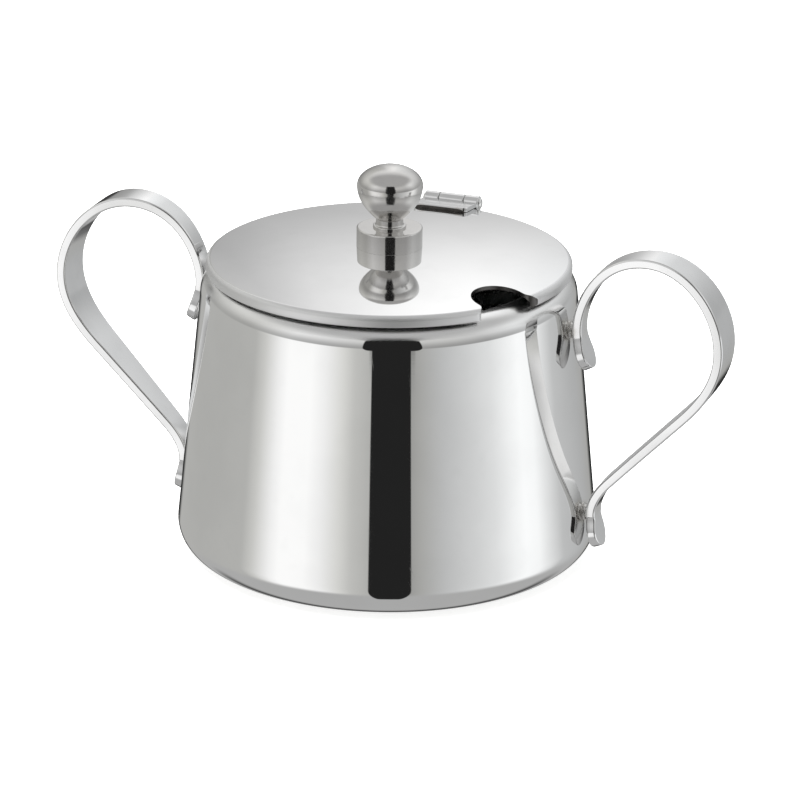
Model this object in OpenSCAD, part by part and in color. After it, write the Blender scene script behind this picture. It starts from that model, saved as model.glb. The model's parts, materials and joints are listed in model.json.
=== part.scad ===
// Hinged-lid sugar bowl in polished sheet steel: tapered bowl, strap handles, domed lid with a ball knob.
// Origin at the centre of the foot, +Z up, handles along X, hinge at the back (+Y).

/* [Bowl] */
// Radius that the sloping wall would reach at the table
base_r = 44.2; // [40:0.1:48]
// Radius of the wall at the height of the rim ledge
rim_r = 38.2; // [36:0.1:40]
// Height of the rim ledge that the lid sits over
bowl_h = 60.2; // [54:0.1:66]
// Thickness of the sheet
sheet_t = 0.8; // [0.6:0.1:1.2]
// Rounding between the wall and the foot
foot_round = 6; // [3:0.5:7]
// Rounding between the wall and the rim ledge
shoulder_round = 5; // [1.2:0.1:5.2]
// Radius of the mouth
mouth_r = 31.6; // [28:0.1:33]
// Depth of the rolled lip round the mouth
lip_drop = 2.4; // [1.6:0.1:4]
// Height of the dished underside above the table
dish_rise = 0.8; // [0.4:0.1:1.5]
// Radius of the dished underside
dish_r = 31; // [26:0.5:34]

/* [Lid] */
// Radius of the lid
lid_r = 37.5; // [36:0.1:37.8]
// Drop of the lid's lower edge past the ledge, over the rounded shoulder
lid_drop = 0.2; // [0:0.05:0.4]
// Height of the turned-down edge
lid_edge_h = 2.5; // [2:0.1:3]
// Rounding along the top of the edge
lid_round = 1.2; // [0.9:0.1:1.5]
// Rise of the dome above the edge
dome_rise = 2.5; // [1.5:0.1:5]

/* [Spoon notch] */
// Width of the notch
notch_w = 11.5; // [8:0.5:14]
// Distance from the lid's axis to the inner end of the notch
notch_inner_r = 28.5; // [27:0.1:30]
// Direction of the notch round the lid, from +X
notch_angle = -30.5; // [-60:0.5:-15]

/* [Knob] */
// Largest radius of the ball
ball_r = 6.75; // [5:0.05:8]
// Height of the crown above the widest line
ball_crown = 4.2; // [3:0.1:6]
// Depth of the taper below the widest line
ball_taper = 7; // [5:0.1:9]
// Radius of the neck
neck_r = 2.8; // [2.2:0.1:3.5]
// Length of the neck
neck_h = 1.8; // [1:0.1:3]
// Radius of the collar under the ball
collar_r = 6.75; // [5:0.05:8]
// Height of the collar
collar_h = 4; // [2:0.1:6]
// Radius of the screw that holds the knob
screw_r = 1.5; // [1.2:0.05:1.8]

/* [Hinge] */
// Distance from the bowl's axis to the hinge pin
pin_y = 39.9; // [39.5:0.1:41]
// Radius of the hinge pin
pin_r = 0.8; // [0.6:0.05:1]
// Outer radius of the knuckles
knuckle_r = 1.6; // [1.4:0.05:1.8]
// Length of the whole barrel
barrel_len = 12; // [10:0.1:14]
// Length of the lid's knuckle in the middle of the barrel
lid_knuckle_len = 5.4; // [4:0.1:7]
// Distance from the pin to the front of the lid leaf
leaf_len = 8.6; // [7:0.1:10]
// Width of both leaves
leaf_w = 12; // [10:0.1:13]

/* [Handles] */
// Thickness of the strap
strap_t = 2; // [1.5:0.1:2.4]
// Width of the strap at the two welds
strap_waist_w = 4.6; // [3:0.1:6]
// Width of the strap at the widest reach of the loop
strap_loop_w = 10.2; // [8:0.1:13]
// Width of the rounded tails
strap_tail_w = 6.6; // [5:0.1:9]
// Reach of the loop from the bowl's axis, at the middle of the strap
loop_reach = 71.3; // [68:0.1:74]
// Height of the top of the loop, at the middle of the strap
loop_top = 68.5; // [65:0.1:70]
// Height of the weld bosses, which hold the strap off the wall
boss_h = 1; // [0.6:0.1:1.5]
// Radius of the weld bosses
boss_r = 1.5; // [1.2:0.1:2]

/* [Hidden] */
$fn = 96;
eps = 0.01;
arc_steps = 8;
curve_steps = 10;
reach = 200;

// Bowl
slope = (base_r - rim_r) / bowl_h;
lean = atan(slope);
foot_z = foot_round * (1 + sin(lean));
shoulder_z = bowl_h - shoulder_round;
lip_round = 1;

// Lid
lid_bottom = bowl_h - lid_drop;
lid_top = lid_bottom + lid_edge_h;
crown_z = lid_top + dome_rise;
dome_edge_r = lid_r - lid_round;
dome_r = (dome_edge_r * dome_edge_r + dome_rise * dome_rise) / (2 * dome_rise);
notch_end_r = notch_w / 2;
notch_centre_r = notch_inner_r + notch_end_r;
notch_corner = 2;

// Knob
collar_z = dome_z(collar_r);
collar_top = collar_z + collar_h;
neck_top = collar_top + neck_h;
ball_z = neck_top + ball_taper;
foot_ring_r = neck_r + 0.6;
foot_ring_h = 0.5;
collar_bevel = 0.35;
washer_r = 3.4;
washer_t = 0.5;
screw_clear = 0.1;
screw_head_r = 2.7;
screw_head_h = 1.6;
screw_slot_w = 0.6;
screw_slot_d = 0.7;
screw_grip = 5;
under_crown = crown_z - sheet_t;
washer_z = under_crown - dome_sag(washer_r) - washer_t;

// Hinge
pin_z = lid_top + 0.1;
knuckle_gap = 0.15;
leaf_t = 1;
body_leaf_bottom = bowl_h - 10;
body_knuckle_len = (barrel_len - lid_knuckle_len) / 2 - knuckle_gap;
pin_running = 0.05;
rivet_r = 1.15;
rivet_h = 0.6;
leaf_back_y = pin_y - knuckle_r - 0.15;
leaf_front_y = pin_y - leaf_len;
leaf_slope = asin((leaf_front_y + dome_edge_r) / 2 / dome_r);
leaf_back_z = dome_z(dome_edge_r) - (leaf_back_y - dome_edge_r) * tan(leaf_slope) + leaf_t;

// Handle path, x outwards and z up, at the middle of the strap
upper_waist_z = 51.5;
lower_waist_z = 12.5;
waist_gap = boss_h + strap_t / 2;
upper_waist = [wall_r(upper_waist_z) + waist_gap, upper_waist_z];
lower_waist = [wall_r(lower_waist_z) + waist_gap, lower_waist_z];
upper_tip = [43.6, 43.9];
lower_tip = [46.5, 5.6];
loop_crest = [56, loop_top];
loop_side = [loop_reach, 51.5];
run_top = [63.8, 36.4];
run_bottom = [48.6, 20.4];
upper_tail_path = curve(upper_waist, [upper_waist[0] + 0.3, 48.8], [42.4, 46.1], upper_tip);
loop_path = concat(
    curve(upper_waist, [upper_waist[0] - 0.6, 57.5], [45.2, loop_top], loop_crest),
    curve(loop_crest, [64.6, loop_top], [loop_reach, 59.8], loop_side),
    curve(loop_side, [loop_reach, 45.6], [68.1, 40.9], run_top),
    curve(run_top, [59.7, 32.1], [52.8, 24.9], run_bottom),
    curve(run_bottom, [46.6, 18.3], [lower_waist[0] - 0.3, 15.2], lower_waist));
lower_tail_path = curve(lower_waist, [lower_waist[0] + 0.2, 10.2], [45.6, 7.8], lower_tip);

function wall_r(z) = base_r - slope * z;
function dome_sag(r) = dome_r - sqrt(dome_r * dome_r - r * r);
function dome_z(r) = crown_z - dome_sag(r);

// Points on an arc about c, from angle a to angle b
function arc(c, r, a, b) =
    [for (i = [0 : arc_steps]) c + r * [cos(a + (b - a) * i / arc_steps), sin(a + (b - a) * i / arc_steps)]];

// Point on a cubic curve, and the curve's points without its last one
function curve_at(p, q, r, s, u) =
    pow(1 - u, 3) * p + 3 * pow(1 - u, 2) * u * q + 3 * (1 - u) * u * u * r + pow(u, 3) * s;
function curve(p, q, r, s) = [for (i = [0 : curve_steps]) curve_at(p, q, r, s, i / curve_steps)];

// Unit normal at point i of a path whose doubled points are skipped
function side(path, i) =
    let (a = path[max(i - 1, 0)], b = path[min(i + 1, len(path) - 1)], d = b - a)
    [-d[1], d[0]] / norm(d);
function single(path) =
    [for (i = [0 : len(path) - 1]) if (i == 0 || norm(path[i] - path[i - 1]) > eps) path[i]];

// Outline of a strap of thickness t along a path
function thick(path, t) =
    let (n = len(path) - 1)
    concat([for (i = [0 : n]) path[i] + side(path, i) * t / 2],
           [for (i = [0 : n]) path[n - i] - side(path, n - i) * t / 2]);

// Solid cone of the bowl's outer wall, which cuts the seats of what is joined to it
module wall_cone() {
    cylinder(h = bowl_h, r1 = base_r, r2 = rim_r);
}

// Wall, rim ledge and rolled lip, pressed in one piece
module bowl_shell() {
    shoulder_c = [wall_r(shoulder_z) - shoulder_round / cos(lean), shoulder_z];
    lip_c = [mouth_r + lip_round, bowl_h - lip_round];
    inner_round = shoulder_round - sheet_t;
    outer = concat([[wall_r(foot_z), foot_z]],
                   arc(shoulder_c, shoulder_round, lean, 90),
                   arc(lip_c, lip_round, 90, 180),
                   [[mouth_r, bowl_h - lip_drop]]);
    inner = concat([[mouth_r + sheet_t, bowl_h - lip_drop]],
                   arc(lip_c, lip_round - sheet_t, 180, 90),
                   arc(shoulder_c, inner_round, 90, lean),
                   [[wall_r(foot_z) - sheet_t * cos(lean), foot_z - sheet_t * sin(lean)]]);
    color("silver") rotate_extrude() polygon(concat(outer, inner));
}

// Dished foot, rounded up to meet the wall
module base_plate() {
    foot_c = [wall_r(foot_z) - foot_round * cos(lean), foot_round];
    dish_slope_r = dish_r + 2 * dish_rise;
    outer = concat([[0, dish_rise], [dish_r, dish_rise], [dish_slope_r, 0]],
                   arc(foot_c, foot_round, -90, lean));
    inner = concat(arc(foot_c, foot_round - sheet_t, lean, -90),
                   [[dish_slope_r + sheet_t / 3, sheet_t], [dish_r + sheet_t / 3, dish_rise + sheet_t],
                    [0, dish_rise + sheet_t]]);
    color("silver") rotate_extrude() polygon(concat(outer, inner));
}

// Strap handle on the +X side, welded to the wall by a boss at each waist
module strap_handle() {
    module band(path) {
        rotate([90, 0, 0]) linear_extrude(reach, center = true) polygon(thick(single(path), strap_t));
    }
    module tail_outline(tip_z, waist_z) {
        end_z = tip_z + strap_tail_w / 2;
        translate([20, 0, 0]) rotate([90, 0, 90]) linear_extrude(40) {
            translate([0, end_z]) circle(d = strap_tail_w);
            polygon([[-strap_waist_w / 2, waist_z], [-strap_tail_w / 2, end_z],
                     [strap_tail_w / 2, end_z], [strap_waist_w / 2, waist_z]]);
        }
    }
    module boss(waist) {
        boss_len = 3 * boss_h + strap_t;
        translate([waist[0] - boss_len, 0, waist[1]]) rotate([0, 90, 0]) cylinder(h = boss_len, r = boss_r);
    }
    waist_x = upper_waist[0] - strap_t;
    outer_x = loop_reach + strap_t;
    difference() {
        union() {
            intersection() {
                band(loop_path);
                linear_extrude(reach, center = true)
                    polygon([[waist_x, -strap_waist_w / 2], [outer_x, -strap_loop_w / 2],
                             [outer_x, strap_loop_w / 2], [waist_x, strap_waist_w / 2]]);
            }
            intersection() {
                band(upper_tail_path);
                tail_outline(upper_tip[1] - strap_t / 2, upper_waist_z + eps);
            }
            intersection() {
                band(lower_tail_path);
                tail_outline(lower_tip[1] - strap_t / 2, lower_waist_z + eps);
            }
            boss(upper_waist);
            boss(lower_waist);
        }
        wall_cone();
    }
}

module right_handle() {
    color("silver") strap_handle();
}

module left_handle() {
    color("silver") mirror([1, 0, 0]) strap_handle();
}

// Outer surface of the lid, from the crown down to the lower end of the turned-down edge
function lid_outline() = concat(
    [for (i = [0 : 2 * arc_steps]) let (x = dome_edge_r * i / (2 * arc_steps)) [x, dome_z(x)]],
    arc([lid_r - lid_round, lid_top - lid_round], lid_round, 80, 0));

// Solid under the lid's outer surface, which cuts the seats of what stands on it
module lid_solid() {
    rotate_extrude() polygon(concat(lid_outline(), [[lid_r, lid_bottom], [0, lid_bottom]]));
}

// Domed lid with a turned-down edge and the spoon notch
module lid_plate() {
    bead = sheet_t / 2;
    soffit_r = dome_edge_r - sheet_t / 2;
    soffit = [for (i = [2 * arc_steps : -1 : 0]) let (x = soffit_r * i / (2 * arc_steps))
              [x, dome_z(x) - sheet_t]];
    color("silver") difference() {
        rotate_extrude() polygon(concat(lid_outline(), arc([lid_r - bead, lid_bottom + bead], bead, 0, -180),
            [[lid_r - sheet_t, lid_top - lid_round - sheet_t / 2]], soffit));
        translate([0, 0, under_crown - sheet_t]) cylinder(h = 3 * sheet_t, r = screw_r + screw_clear);
        rotate([0, 0, notch_angle]) spoon_notch();
    }
}

// Notch with a round inner end and eased corners at the edge of the lid
module spoon_notch() {
    corner_y = notch_end_r + notch_corner;
    corner_x = sqrt(pow(lid_r - notch_corner, 2) - pow(corner_y, 2));
    translate([0, 0, lid_bottom - 1]) linear_extrude(2 * lid_edge_h + dome_rise) {
        translate([notch_centre_r, 0]) circle(r = notch_end_r);
        translate([notch_centre_r, -notch_end_r]) square([lid_r, notch_w]);
        for (s = [-1, 1]) difference() {
            translate([corner_x, s > 0 ? notch_end_r - eps : -corner_y]) square([lid_r, notch_corner + eps]);
            translate([corner_x, s * corner_y]) circle(r = notch_corner);
        }
    }
}

// Turned collar that lifts the ball off the lid
module knob_collar() {
    color("silver") difference() {
        rotate_extrude() polygon([[0, collar_z - 1], [collar_r, collar_z - 1],
                                  [collar_r, collar_top - collar_bevel],
                                  [collar_r - collar_bevel, collar_top], [0, collar_top]]);
        lid_solid();
        translate([0, 0, collar_z - 2]) cylinder(h = collar_h + 4, r = screw_r + screw_clear);
    }
}

// Ball with its neck, turned from bar and tapped from below
module knob_ball() {
    crown = [for (i = [0 : 2 * arc_steps]) let (a = 90 * (1 - i / (2 * arc_steps)))
             [ball_r * cos(a), ball_z + ball_crown * sin(a)]];
    taper = curve([ball_r, ball_z], [ball_r, ball_z - 0.45 * ball_taper],
                  [0.65 * ball_r, ball_z - 0.8 * ball_taper], [neck_r, neck_top]);
    color("silver") difference() {
        rotate_extrude() polygon(single(concat(crown, taper, [[neck_r, collar_top + foot_ring_h],
            [foot_ring_r, collar_top + foot_ring_h], [foot_ring_r, collar_top], [0, collar_top]])));
        translate([0, 0, collar_top - 1]) cylinder(h = screw_grip + 1 + screw_clear, r = screw_r);
    }
}

// Washer under the crown of the lid
module knob_washer() {
    color("gainsboro") translate([0, 0, washer_z]) difference() {
        cylinder(h = washer_t, r = washer_r);
        translate([0, 0, -1]) cylinder(h = washer_t + 2, r = screw_r + screw_clear);
    }
}

// Slotted screw from under the lid into the ball
module knob_screw() {
    shank_top = collar_top + screw_grip;
    color("gainsboro") difference() {
        union() {
            translate([0, 0, washer_z - screw_head_h]) cylinder(h = screw_head_h, r = screw_head_r);
            translate([0, 0, washer_z - eps]) cylinder(h = shank_top - washer_z + eps, r = screw_r);
        }
        translate([0, 0, washer_z - screw_head_h + screw_slot_d / 2 - eps])
            cube([3 * screw_head_r, screw_slot_w, screw_slot_d], center = true);
    }
}

// Cylinder along X about the hinge axis
module along_pin(r, len, x = 0) {
    translate([x, pin_y, pin_z]) rotate([0, 90, 0]) cylinder(h = len, r = r, center = true);
}

// Leaf on the back of the bowl, with the two outer knuckles
module hinge_body_leaf() {
    knuckle_x = (barrel_len - body_knuckle_len) / 2;
    web_bottom = shoulder_z - 2;
    leaf_y = wall_r(body_leaf_bottom);
    color("silver") difference() {
        union() {
            intersection() {
                translate([0, 0, body_leaf_bottom])
                    cylinder(h = bowl_h - shoulder_round - body_leaf_bottom, r1 = leaf_y + leaf_t,
                             r2 = wall_r(shoulder_z) + leaf_t);
                translate([-leaf_w / 2, 0, 0]) cube([leaf_w, 2 * base_r, reach]);
            }
            for (s = [-1, 1]) {
                along_pin(knuckle_r, body_knuckle_len, s * knuckle_x);
                translate([s * knuckle_x - body_knuckle_len / 2, pin_y - 0.9, web_bottom])
                    cube([body_knuckle_len, 0.9 + leaf_t, pin_z - web_bottom]);
            }
        }
        wall_cone();
        along_pin(pin_r, 2 * barrel_len);
        translate([0, pin_y, pin_z])
            cube([lid_knuckle_len + 2 * knuckle_gap, 4 * knuckle_r, 3 * knuckle_r], center = true);
    }
}

// Leaf on the slope of the lid, with the middle knuckle
module hinge_lid_leaf() {
    color("silver") difference() {
        union() {
            translate([-leaf_w / 2, leaf_back_y, leaf_back_z]) rotate([-leaf_slope, 0, 0])
                translate([0, leaf_front_y - leaf_back_y, -1.5 * leaf_t])
                    cube([leaf_w, leaf_back_y - leaf_front_y, 1.5 * leaf_t]);
            translate([-lid_knuckle_len / 2, leaf_back_y - leaf_t, pin_z - leaf_t / 2])
                cube([lid_knuckle_len, pin_y - leaf_back_y + leaf_t, leaf_back_z - pin_z + leaf_t / 2]);
            along_pin(knuckle_r, lid_knuckle_len);
        }
        lid_solid();
        translate([0, 0, -1]) cylinder(h = lid_top - lid_round + 1, r = lid_r + 1);
        along_pin(pin_r + pin_running, 2 * barrel_len);
    }
}

// Hinge pin with peened ends
module hinge_pin() {
    color("gainsboro") {
        along_pin(pin_r, barrel_len + 2 * eps);
        for (s = [-1, 1]) along_pin(rivet_r, rivet_h, s * (barrel_len + rivet_h) / 2);
    }
}

bowl_shell();
base_plate();
left_handle();
right_handle();
hinge_body_leaf();
hinge_pin();
lid_plate();
hinge_lid_leaf();
knob_collar();
knob_ball();
knob_screw();
knob_washer();
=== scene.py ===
"""Hinged-lid sugar bowl in polished steel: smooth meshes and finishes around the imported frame.

The classes hold lengths in millimetres, and each mesh is turned into metres as it is made. Heights and
radii that the frame knows are read from its boxes, and the rest are named fields.
"""

import json
import logging
import math
from collections.abc import Sequence
from dataclasses import dataclass
from enum import Enum

import bmesh
import bpy
from mathutils import Matrix, Vector


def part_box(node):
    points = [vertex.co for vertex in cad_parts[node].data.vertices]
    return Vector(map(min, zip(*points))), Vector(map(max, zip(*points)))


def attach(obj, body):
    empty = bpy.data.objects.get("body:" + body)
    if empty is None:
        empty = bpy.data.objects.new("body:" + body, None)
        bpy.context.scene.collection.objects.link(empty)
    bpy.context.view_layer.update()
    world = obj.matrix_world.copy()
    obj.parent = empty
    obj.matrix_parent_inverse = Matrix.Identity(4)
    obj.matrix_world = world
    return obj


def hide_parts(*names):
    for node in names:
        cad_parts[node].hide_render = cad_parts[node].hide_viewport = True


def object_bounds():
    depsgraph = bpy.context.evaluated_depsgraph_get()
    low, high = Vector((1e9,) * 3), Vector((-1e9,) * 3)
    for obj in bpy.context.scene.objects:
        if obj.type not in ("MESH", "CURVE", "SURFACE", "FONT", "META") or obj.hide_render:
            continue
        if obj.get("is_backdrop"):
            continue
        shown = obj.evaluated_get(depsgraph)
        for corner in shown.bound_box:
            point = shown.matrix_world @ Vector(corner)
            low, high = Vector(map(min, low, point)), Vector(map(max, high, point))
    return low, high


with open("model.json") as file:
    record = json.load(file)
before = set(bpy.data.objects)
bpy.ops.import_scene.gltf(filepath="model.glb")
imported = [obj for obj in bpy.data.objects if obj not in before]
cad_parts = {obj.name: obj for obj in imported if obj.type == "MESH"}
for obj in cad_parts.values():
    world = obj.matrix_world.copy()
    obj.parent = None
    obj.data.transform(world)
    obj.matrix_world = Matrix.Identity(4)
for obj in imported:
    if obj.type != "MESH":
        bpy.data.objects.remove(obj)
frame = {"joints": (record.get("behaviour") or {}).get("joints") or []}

log = logging.getLogger("sugar_bowl")

MM = 0.001
SHARP_ANGLE = math.radians(33.0)
# Gap between hidden faces that would otherwise lie in one plane, in millimetres
SEAT = 0.02
Point = tuple[float, float]
Colour = tuple[float, float, float]


class Body(Enum):
    """The two bodies that the hinge joins."""

    BOWL = "bowl"
    LID = "lid"


class Slot(Enum):
    """Material slots of the record."""

    WALL = "polished_sheet"
    FOOT = "foot_sheet"
    STRAP = "polished_strap"
    LID = "polished_lid"
    HINGE = "hinge_metal"
    TURNED = "turned_metal"
    PIN = "pin_metal"


class Side(Enum):
    """Side of the bowl that a handle is on."""

    LEFT = -1
    RIGHT = 1


class Axis(Enum):
    """Axis that a lathe piece turns about: the bowl's own axis, or a line along X."""

    UP = "up"
    ALONG_PIN = "along pin"


class Grain(Enum):
    """Direction that the polishing lines of a finish run in."""

    CIRCLES = "circles round the bowl's axis"
    ALONG_STRAP = "along the strap"
    ALONG_X = "along the hinge"


# ---------------------------------------------------------------- shader graphs


class Value:
    """Output socket of a shader node whose arithmetic is written with Python operators."""

    def __init__(self, graph: "Graph", socket: bpy.types.NodeSocket) -> None:
        """Keep the graph and the socket that this value stands for."""
        self.graph = graph
        self.socket = socket

    def math(self, operation: str, *others: "Value | float") -> "Value":
        """Value of one Math operation.

        Args:
            operation: Blender's name of the operation.
            others: The operands after this value.

        Returns:
            The result.
        """
        return self.graph.node("ShaderNodeMath", {"operation": operation}, [self, *others])

    def __add__(self, other: "Value | float") -> "Value":
        """Sum."""
        return self.math("ADD", other)

    def __radd__(self, other: float) -> "Value":
        """Sum with the number on the left."""
        return self.math("ADD", other)

    def __sub__(self, other: "Value | float") -> "Value":
        """Difference."""
        return self.math("SUBTRACT", other)

    def __rsub__(self, other: float) -> "Value":
        """Difference with the number on the left."""
        return self.graph.node("ShaderNodeMath", {"operation": "SUBTRACT"}, [other, self])

    def __mul__(self, other: "Value | float") -> "Value":
        """Product."""
        return self.math("MULTIPLY", other)

    def __rmul__(self, other: float) -> "Value":
        """Product with the number on the left."""
        return self.math("MULTIPLY", other)

    def __truediv__(self, other: "Value | float") -> "Value":
        """Quotient."""
        return self.math("DIVIDE", other)

    def between(self, low: float, high: float) -> "Value":
        """Smooth rise from 0 at low to 1 at high, or a fall when low is the larger.

        Args:
            low: Where the result is 0.
            high: Where the result is 1.

        Returns:
            The smooth step.
        """
        falls = low > high
        ends = (high, low) if falls else (low, high)
        rise = self.graph.node("ShaderNodeMapRange", {"interpolation_type": "SMOOTHSTEP"},
                               {"Value": self, "From Min": ends[0], "From Max": ends[1]})
        return 1.0 - rise if falls else rise


class Graph:
    """Node tree of one material or of the world."""

    def __init__(self, owner: bpy.types.Material | bpy.types.World) -> None:
        """Start an empty node tree on its owner."""
        owner.use_nodes = True
        self.tree = owner.node_tree
        self.tree.nodes.clear()

    def node(self, kind: str, settings: dict | None = None,
             inputs: dict | Sequence | None = None, output: int | str = 0) -> Value:
        """Add one node, set it up and join its inputs.

        Args:
            kind: The node's Blender type.
            settings: Attributes set before the inputs; "stops" fills a colour ramp.
            inputs: Values or numbers for the inputs, by name or in order.
            output: Name or index of the output to return.

        Returns:
            The chosen output, or the first input of a node that has no outputs.
        """
        made = self.tree.nodes.new(kind)
        for key, setting in (settings or {}).items():
            if key == "stops":
                self._fill_ramp(made.color_ramp, setting)
            else:
                setattr(made, key, setting)
        named = inputs.items() if isinstance(inputs, dict) else enumerate(inputs or [])
        for key, given in named:
            if isinstance(given, Value):
                self.tree.links.new(given.socket, made.inputs[key])
            else:
                made.inputs[key].default_value = given
        return Value(self, made.outputs[output] if made.outputs else made.inputs[0])

    @staticmethod
    def _fill_ramp(ramp: bpy.types.ColorRamp, stops: Sequence[tuple[float, Colour]]) -> None:
        """Give a colour ramp its stops.

        Args:
            ramp: The ramp to fill.
            stops: Place and colour of each stop, in rising order.
        """
        while len(ramp.elements) > 1:
            ramp.elements.remove(ramp.elements[0])
        for index, (place, colour) in enumerate(stops):
            element = ramp.elements[0] if index == 0 else ramp.elements.new(place)
            element.position = place
            element.color = (*colour, 1.0)

    def place(self) -> Value:
        """Place on the piece in metres, which stays with the piece as it moves."""
        return self.node("ShaderNodeTexCoord", output="Object")

    def split(self, vector: Value) -> tuple[Value, Value, Value]:
        """The three parts of a vector.

        Args:
            vector: The vector to take apart.

        Returns:
            Its X, Y and Z.
        """
        first = self.node("ShaderNodeSeparateXYZ", inputs=[vector])
        outputs = first.socket.node.outputs
        return first, Value(self, outputs[1]), Value(self, outputs[2])

    def join(self, x: Value | float, y: Value | float, z: Value | float) -> Value:
        """Vector from its three parts."""
        return self.node("ShaderNodeCombineXYZ", inputs=[x, y, z])

    def noise(self, vector: Value, size_mm: float, detail: float = 2.0) -> Value:
        """Noise from 0 to 1.

        Args:
            vector: Place in metres.
            size_mm: Size of one patch of the noise in millimetres.
            detail: Octaves of finer noise on top.

        Returns:
            The noise value.
        """
        return self.node("ShaderNodeTexNoise", {"noise_dimensions": "3D"},
                         {"Vector": vector, "Scale": 1.0 / (size_mm * MM), "Detail": detail})

    def mix(self, factor: Value | float, first: Value | Colour, second: Value | Colour) -> Value:
        """Mix of two colours.

        Args:
            factor: Share of the second colour.
            first: Colour at factor 0.
            second: Colour at factor 1.

        Returns:
            The mixed colour.
        """
        return self._blend("MIX", factor, first, second)

    def tint(self, first: Value | Colour, second: Value | Colour) -> Value:
        """Product of two colours, part by part."""
        return self._blend("MULTIPLY", 1.0, first, second)

    def _blend(self, blend: str, factor: Value | float, first: Value | Colour,
               second: Value | Colour) -> Value:
        """One Mix node on colours.

        Args:
            blend: Blender's name of the way to mix.
            factor: Share of the second colour.
            first: Colour A.
            second: Colour B.

        Returns:
            The resulting colour.
        """
        a, b = ((*c, 1.0) if isinstance(c, tuple) else c for c in (first, second))
        settings = {"data_type": "RGBA", "blend_type": blend}
        return self.node("ShaderNodeMix", settings, {0: factor, 6: a, 7: b}, 2)


# ---------------------------------------------------------------- finishes


@dataclass(frozen=True)
class Patch:
    """Round patch of heat colour and coarser polish about a joint, in millimetres."""

    centre: tuple[float, float, float]
    reach: float


@dataclass(frozen=True)
class Steel:
    """Polished steel with fine polishing lines, hazy patches, hairlines and duller joints.

    Lengths are in millimetres. The fields of a zone that a piece doesn't have stay None.
    """

    name: str
    colour: Colour
    roughness: float
    grain: Grain
    line_pitch: float = 0.25
    line_depth: float = 0.4
    line_rough: float = 0.03
    haze: float = 0.05
    haze_size: float = 18.0
    hairline: float = 0.06
    dull_below: float | None = None
    satin_inside: Point | None = None
    satin_beyond: float | None = None
    patches: tuple[Patch, ...] = ()
    satin: float = 0.22
    scale: float = 0.16
    heat_colour: Colour = (0.62, 0.53, 0.42)

    def material(self) -> bpy.types.Material:
        """The finish as a material.

        Returns:
            A material whose detail is computed from the place on the piece.
        """
        made = bpy.data.materials.new(self.name)
        graph = Graph(made)
        place = graph.place()
        x, y, z = graph.split(place)
        radius = (x * x + y * y).math("SQRT")
        lines = self._lines(graph, x, y, z, radius)
        haze = graph.noise(place, self.haze_size, 3.0).between(0.42, 0.68)
        smudge = graph.noise(place, self.haze_size * 0.22, 4.0).between(0.55, 0.75)
        scratch = self._hairlines(graph, x, y, z)
        dull = self._dull(z, radius)
        heat = self._heat(graph, place)
        rough = (self.roughness + lines * self.line_rough + haze * self.haze
                 + smudge * haze * self.haze * 0.6 + scratch * self.hairline + dull * self.satin
                 + heat * self.scale)
        deep = tuple(c * 0.93 for c in self.colour)
        tone = graph.mix(haze * 0.5 + smudge * 0.2, self.colour, deep)
        tone = graph.mix(heat * 0.35, tone, self.heat_colour)
        height = (lines - 0.5) * (1.0 + dull * 3.0) - scratch * 0.5
        bump = graph.node("ShaderNodeBump", inputs={"Strength": 0.35, "Distance": self.line_depth * 1e-5,
                                                    "Height": height})
        shader = graph.node("ShaderNodeBsdfPrincipled", inputs={
            "Base Color": tone, "Metallic": 1.0, "Roughness": rough, "Normal": bump})
        graph.node("ShaderNodeOutputMaterial", inputs={"Surface": shader})
        return made

    def _lines(self, graph: Graph, x: Value, y: Value, z: Value, radius: Value) -> Value:
        """Polishing lines from 0 to 1, which the drag draws out along the finish's grain."""
        drag, drag_round = 0.02, 0.0004
        if self.grain is Grain.CIRCLES:
            vector = graph.join(radius, z, y.math("ARCTAN2", x) * drag_round)
        elif self.grain is Grain.ALONG_STRAP:
            vector = graph.join(x * drag, y, z * drag)
        else:
            vector = graph.join(x * drag, y, z)
        return graph.noise(vector, self.line_pitch, 3.0)

    def _hairlines(self, graph: Graph, x: Value, y: Value, z: Value) -> Value:
        """Sparse crossed hairline scratches, 1 on a scratch and 0 elsewhere."""
        crossed = 0.0
        for lean_x, lean_z in ((0.9, 0.35), (-0.4, 0.8), (0.2, -1.0)):
            across = x * lean_z - z * lean_x + y * 0.6
            along = x * lean_x + z * lean_z - y * 0.5
            stroke = graph.noise(graph.join(across, along * 0.03, 0.0), 0.35, 1.0)
            gate = graph.noise(graph.join(x, y, z + lean_x), 7.0, 1.0).between(0.5, 0.62)
            crossed = stroke.between(0.68, 0.74) * gate + crossed
        return crossed

    def _dull(self, z: Value, radius: Value) -> Value:
        """Dull zones: the rubbed foot, the inside that was never polished, and the brushed lid edge."""
        brushed = 2.0
        dull = z * 0.0
        if self.dull_below is not None:
            dull = dull + z.between(self.dull_below * MM, self.dull_below * MM * 0.5)
        if self.satin_inside is not None:
            base, slope = self.satin_inside
            dull = dull + (radius + z * slope).between((base - 0.3) * MM, (base - 0.5) * MM)
        if self.satin_beyond is not None:
            edge = self.satin_beyond * MM
            dull = dull + radius.between(edge, edge + 0.5 * MM) * brushed
        return dull

    def _heat(self, graph: Graph, place: Value) -> Value:
        """Patches about the joints, each fading at its reach."""
        ragged = graph.noise(place, 1.2, 3.0)
        heat = ragged * 0.0
        for patch in self.patches:
            gap = graph.node("ShaderNodeVectorMath", {"operation": "DISTANCE"},
                             {0: place, 1: tuple(c * MM for c in patch.centre)}, "Value")
            reach = patch.reach * MM
            heat = heat + (gap + ragged * reach * 0.5).between(reach * 1.25, reach * 0.55)
        return heat


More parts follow.
